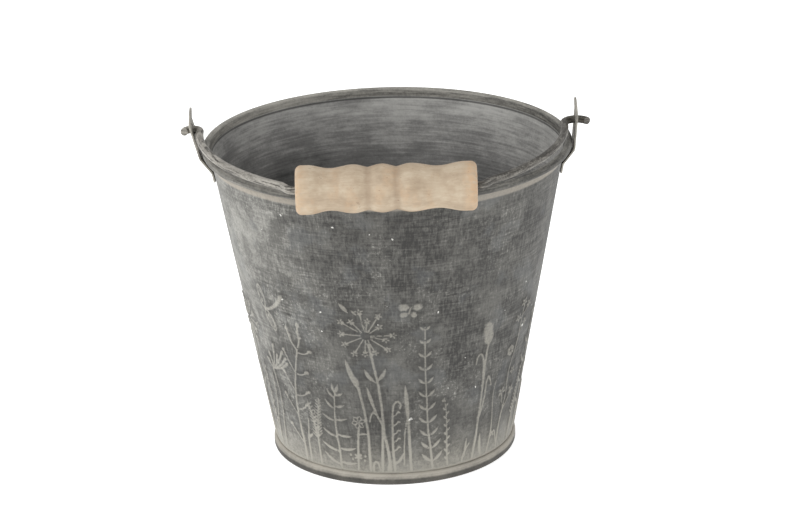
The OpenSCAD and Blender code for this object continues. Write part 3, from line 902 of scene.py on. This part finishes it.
ear_zinc, place = new_material("ear_zinc")
specks = place.noise(0.0012, rough=0.7)
clouds = place.noise(0.008, detail=2.0)
wear = 0.55 * clouds.step(0.3, 0.7) + 0.45 * specks.step(0.3, 0.7)
colour = wear.mix(tint(118, 115, 108), tint(176, 172, 162))
finish(place, colour, 0.5 + 0.2 * specks, 0.2, 0.6 * specks + 0.4 * clouds, 0.0002)
for hand, side in (("left", -1), ("right", 1)):
    ear = ear_mesh("ear_" + hand + "_plate", side, EAR_LEAN[hand])
    dress(ear, ear_zinc, "bucket", ["ear_" + hand])


# ------------------------------------------------------------
# Bail: one round steel wire, cold bent. Each end is a hook through an ear, each arm follows the rim forwards,
# and a crank on either side of the grip keeps it from sliding.

WIRE_R = 2.1
WIRE_SIDES = 24
WIRE_END = 0.35     # rounding of the wire's cut ends
CRANK_STEP = 7.4
CRANK_ANGLE = 60
CRANK_BEND = 4
HOOK_R = {-1: 4.2, 1: 6.6}
HOOK_WRAP = {-1: 92, 1: 62}
GRIP_SLACK = 0.7
reach = -box_of("bail")[0][1] - WIRE_R
grip_x = (grip_low[0] + grip_high[0]) / 2
grip_half = (grip_high[0] - grip_low[0]) / 2


def arm(side, lean):
    """One arm from the grip's middle outwards to the hook's end, as points in the bail's own plane: run,
    crank, shoulder, a wide arc along the rim and the hook, all joined by bends."""
    hole_x = blade_x(lean, hinge_z)
    arm_x = hole_x - HOOK_R[side]
    run = grip_half + GRIP_SLACK + CRANK_BEND * np.tan(np.radians(CRANK_ANGLE / 2)) + side * grip_x
    shoulder = np.array([run + CRANK_STEP / np.tan(np.radians(CRANK_ANGLE)), CRANK_STEP - reach])
    across, up = arm_x - shoulder[0], -shoulder[1] - HOOK_R[side]
    wide = (across ** 2 + up ** 2) / (2 * across)
    sweep = np.degrees(np.arctan2(up, wide - across))
    sweep_line = arc((arm_x - wide, -HOOK_R[side]), wide, -sweep, 0, 90)
    soft = 5    # points of the arc that the shoulder's bend takes up
    bends, _ = bent_line([(side * grip_x, -reach), (run, -reach), shoulder, sweep_line[soft]], CRANK_BEND)
    hook = arc((hole_x, -HOOK_R[side]), HOOK_R[side], 180, 90 - HOOK_WRAP[side], 40)
    line = np.vstack([bends, sweep_line[soft + 1:-1], hook])
    return line * [side, 1]


def tube(line, radius, sides):
    """Carries a circle along a line in a level plane and closes its ends with small domes."""
    along = np.gradient(line, axis=0)
    along /= np.hypot(*along.T)[:, None]
    across = np.column_stack([-along[:, 1], along[:, 0]])
    bulge = np.radians([90, 70, 45, 20])
    out = WIRE_END * np.sin(bulge)[:, None]
    end_size = radius - WIRE_END + WIRE_END * np.cos(bulge)
    centre = np.vstack([line[0] - along[0] * out, line, line[-1] + along[-1] * out[::-1]])
    normal = np.vstack([across[:1] + 0 * out, across, across[-1:] + 0 * out])
    size = np.concatenate([end_size, np.full(len(line), radius), end_size[::-1]])[:, None]
    turn = np.linspace(0, 2 * np.pi, sides + 1)[:-1]
    flat = centre[:, None] + normal[:, None] * (size * np.cos(turn))[..., None]
    z = hinge_z + size * np.sin(turn)
    points = np.concatenate([flat, z[..., None]], -1).reshape(-1, 3)
    ends = np.array([points[:sides].mean(0), points[-sides:].mean(0)])
    k = np.arange(sides)
    cap = np.column_stack([k, (k + 1) % sides, np.full(sides, len(points))])
    last = len(points) - sides
    return np.vstack([points, ends]), [grid_faces(len(centre), sides), cap, cap + [last, last, 1]]


left_arm, right_arm = arm(-1, EAR_LEAN["left"]), arm(1, EAR_LEAN["right"])
bail = add_mesh("bail_wire", [tube(np.vstack([left_arm[::-1], right_arm[1:]]), WIRE_R, WIRE_SIDES)])

wire_steel, place = new_material("wire_steel")
specks = place.noise(0.0012, rough=0.7)
streaks = place.noise(0.0014, (9, 9, 1), 3.0, 0.65)
left_share = 1 - place.axis("X").step(-0.04, 0.05)
scratches = place.noise(0.0008, (18, 18, 1), 2.0).step(0.56, 0.62)
wear = ((specks - 0.5) + 1.4 * (streaks - 0.5) + 0.35 * left_share - 0.45 * scratches + 0.25).step(0, 1)
colour = wear.mix(tint(60, 57, 52), tint(164, 160, 152))
finish(place, colour, 0.45 + 0.25 * specks, 0.3, 0.5 * specks + 0.5 * streaks, 0.00015)
dress(bail, wire_steel, "bail", ["bail"])


# ------------------------------------------------------------
# Grip: turned and waxed beech, drilled through for the wire. Two wide hollows lie between its end crests and
# three finger ridges, and sharp notches part the ridges.

GRIP_CREST = 25.2
GRIP_RIDGE = 24.8
GRIP_HOLLOW = 21.5
GRIP_NOTCH = 21.8
RIDGE_PITCH = 14.6
RIDGE_SHIFT = -2
CREST_INSET = 6
GRIP_ROUND = 3
BORE_R = 2.4
BORE_EDGE = 0.5     # chamfer of the bore
GRIP_SIDES = 128


def grip_r(x):
    """Radius along the grip, x from its middle: raised cosines between crests, hollows and ridges, pointed
    where two ridges meet in a notch."""
    ridges = RIDGE_SHIFT + RIDGE_PITCH * np.array([-1, -0.5, 0, 0.5, 1])
    crest = grip_half - CREST_INSET
    stations = np.array([-crest, (ridges[0] - crest) / 2, *ridges, (ridges[4] + crest) / 2, crest])
    size = np.array([GRIP_CREST, GRIP_HOLLOW, GRIP_RIDGE, GRIP_NOTCH, GRIP_RIDGE, GRIP_NOTCH, GRIP_RIDGE,
                     GRIP_HOLLOW, GRIP_CREST]) / 2
    k = np.clip(np.searchsorted(stations, x) - 1, 0, 7)
    t = np.clip((x - stations[k]) / (stations[k + 1] - stations[k]), 0, 1)
    wave = (1 - np.cos(np.pi * t)) / 2
    falls = (k == 2) | (k == 4)
    climbs = (k == 3) | (k == 5)
    wave = np.where(falls, 0.6 * (1 - np.cos(np.pi / 2 * t)) + 0.4 * wave, wave)
    wave = np.where(climbs, 1 - 0.6 * (1 - np.cos(np.pi / 2 * (1 - t))) - 0.4 * (1 - wave), wave)
    return size[k] + (size[k + 1] - size[k]) * wave


long_run = np.linspace(GRIP_ROUND - grip_half, grip_half - GRIP_ROUND, 240)
end_r = GRIP_CREST / 2 - GRIP_ROUND
profile = np.vstack([
    [[BORE_R, BORE_EDGE - grip_half], [BORE_R + BORE_EDGE, -grip_half]],
    np.column_stack([np.linspace(BORE_R + 2, end_r - 1, 4), np.full(4, -grip_half)]),
    arc((end_r, GRIP_ROUND - grip_half), GRIP_ROUND, 270, 360, 12)[:-1],
    np.column_stack([grip_r(long_run), long_run]),
    arc((end_r, grip_half - GRIP_ROUND), GRIP_ROUND, 0, 90, 12)[1:],
    np.column_stack([np.linspace(end_r - 1, BORE_R + 2, 4), np.full(4, grip_half)]),
    [[BORE_R + BORE_EDGE, grip_half], [BORE_R, grip_half - BORE_EDGE]],
    np.column_stack([np.full(10, BORE_R), np.linspace(grip_half - 4, 4 - grip_half, 10)]),
    [[BORE_R, BORE_EDGE - grip_half]],
])
turn = np.linspace(0, 2 * np.pi, GRIP_SIDES + 1)[:-1]
r, x = profile[:, :1], profile[:, 1:]
points = np.stack([grip_x + x + 0 * turn, r * np.sin(turn) - reach, hinge_z + r * np.cos(turn)], -1)
grip = add_mesh("grip_wood", [(points.reshape(-1, 3), [grid_faces(len(profile), GRIP_SIDES)])])

raw_beech, place = new_material("raw_beech")
x = place.axis("X")
grain = place.noise(0.0009, (30, 1, 1), 4.0)
figure = place.noise(0.006, (9, 1, 1), 2.0)
waxed = place.noise(0.010, detail=5.0, rough=0.6)
flecks = place.noise(0.0014, (2.5, 1, 1), 3.0)
tone = 0.25 * figure.step(0.3, 0.7) + 0.45 * waxed.step(0.3, 0.7) + 0.5 * (grain - 0.5)
tone = tone + 0.4 * (flecks - 0.5) + 0.15
wood = tone.ramp(tint(144, 126, 104), tint(168, 151, 129), tint(188, 175, 154))
ends = (1 - x.step(-0.046, -0.039)) + x.step(0.036, 0.043)
crests = place.noise(0.009, (1, 2.5, 2.5), 3.0).step(0.5, 0.66)
colour = (0.35 * (ends + 0.6 * crests) * flecks.step(0.25, 0.6)).mix(wood, tint(184, 144, 104))
marks_and_notch_shade = 0.55 * flecks.step(0.66, 0.74)
# painted shade: darker bands in the two notches between the ridges
for notch in (-0.5, 0.5):
    notch_x = (grip_x + RIDGE_SHIFT + notch * RIDGE_PITCH) * MM
    marks_and_notch_shade = marks_and_notch_shade + 0.25 * x.band(notch_x - 0.0004, notch_x + 0.0004, 0.0025)
colour = marks_and_notch_shade.mix(colour, tint(112, 88, 66))
finish(place, colour, 0.6 + 0.15 * grain, 0.0, 0.6 * grain + 0.4 * flecks, 0.00015)
dress(grip, raw_beech, "grip", ["grip"])


# ------------------------------------------------------------
# Studio: a plain sheet of white paper, which glows a little as painted light to hide its edge and wash out
# the bucket's shadow, even light from all round, a soft lamp at the upper left, a weaker one at the right,
# and the camera.

FLOOR_HALF = 20.0
PAPER_GLOW = 0.6
SKY_LIGHT = 0.7
AIM = (0, 0, 0.1)
floor_mesh = bpy.data.meshes.new("paper_floor")
floor_mesh.from_pydata([(x, y, 0) for x, y in ((-1, -1), (1, -1), (1, 1), (-1, 1))], [], [(0, 1, 2, 3)])
floor_mesh.transform(Matrix.Scale(FLOOR_HALF, 4))
floor = add_object("paper_floor", floor_mesh)
paper, place = new_material("paper")
fibre = place.noise(0.02, detail=2.0)
finish(place, fibre.mix(tint(246, 246, 245), tint(250, 250, 249)), 0.9, 0.0, fibre, 0.0001, PAPER_GLOW)
floor_mesh.materials.append(paper)

world = bpy.data.worlds.new("studio")
bpy.context.scene.world = world
world.use_nodes = True
sky = world.node_tree.nodes["Background"]
sky.inputs["Color"].default_value = (1, 1, 1, 1)
sky.inputs["Strength"].default_value = SKY_LIGHT


def lamp(name, stand, size, power):
    """Square soft lamp that faces the bucket: its place and side in metres, its power in watts."""
    light = bpy.data.lights.new(name, "AREA")
    light.size = size
    light.energy = power
    turn = (Vector(AIM) - Vector(stand)).to_track_quat("-Z", "Y")
    add_object(name, light).matrix_world = Matrix.Translation(stand) @ turn.to_matrix().to_4x4()


lamp("left_softbox", (-1.1, -0.7, 1.3), 0.7, 16)
lamp("right_fill", (1.3, -0.6, 0.6), 0.8, 5)

CAMERA_PLACE = (0, -1.5707, 0.6733)
CAMERA_DOWN = 20.0
CAMERA_YAW = -0.192
CAMERA_ROLL = -1.49
LENS = 137.07
camera_data = bpy.data.cameras.new("camera")
camera_data.lens = LENS
camera_data.sensor_width = 36
camera = add_object("camera", camera_data)
camera.matrix_world = (Matrix.Translation(CAMERA_PLACE) @ Matrix.Rotation(np.radians(CAMERA_YAW), 4, "Z")
                       @ Matrix.Rotation(np.radians(90 - CAMERA_DOWN), 4, "X")
                       @ Matrix.Rotation(np.radians(CAMERA_ROLL), 4, "Z"))
bpy.context.scene.camera = camera
bpy.context.scene.view_settings.view_transform = "Standard"
